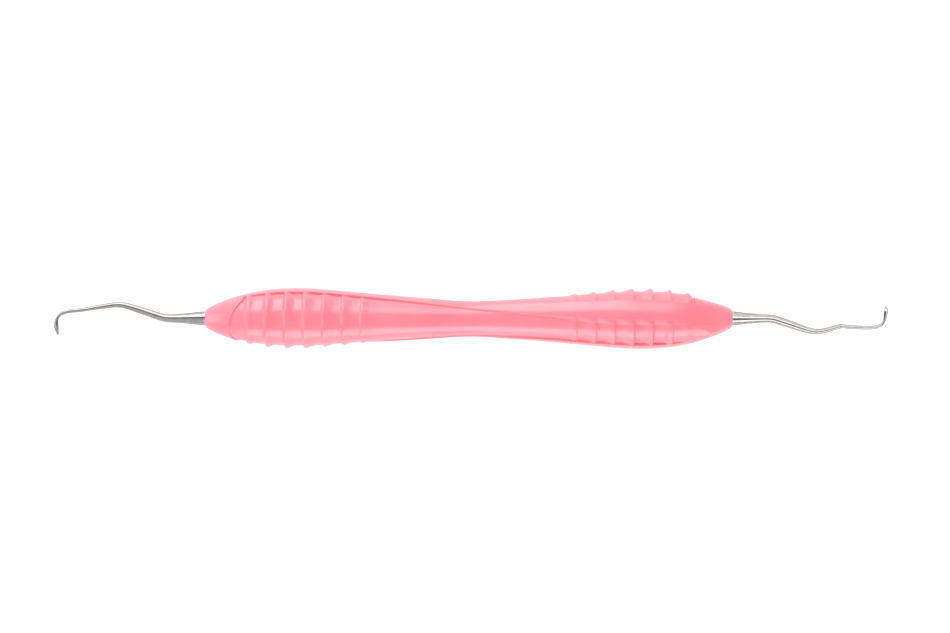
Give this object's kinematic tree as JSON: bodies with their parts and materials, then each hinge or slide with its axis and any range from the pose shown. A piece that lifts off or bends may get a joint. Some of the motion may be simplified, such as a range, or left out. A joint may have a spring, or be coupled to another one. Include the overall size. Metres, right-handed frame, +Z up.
{
  "type": "dental hand instrument",
  "caption": "Slim double-ended dental scaling instrument with a soft ribbed grip, narrow waist, tapered cones, bent shanks and small hooked blades at both ends.",
  "frame": {"origin": "on the handle's axis, halfway between its two mouths, at the middle of the waist", "axes": "+X along the handle towards the right-hand working end, +Z up as the instrument lies on a tray, +Y across the tray"},
  "size_m": [0.1748, 0.0128, 0.0128],
  "materials": {
    "silicone": "satin coral-pink medical silicone, moulded",
    "tube_steel": "drawn stainless steel tube",
    "plug_steel": "turned stainless steel, fine turning marks",
    "instrument_steel": "hardened stainless steel, satin polished, ground blade"
  },
  "bodies": {
    "root": {"grip_sleeve": "silicone", "core_tube": "tube_steel", "end_plug_left": "plug_steel", "end_plug_right": "plug_steel", "working_end_left": "instrument_steel", "working_end_right": "instrument_steel"}
  },
  "joints": []
}
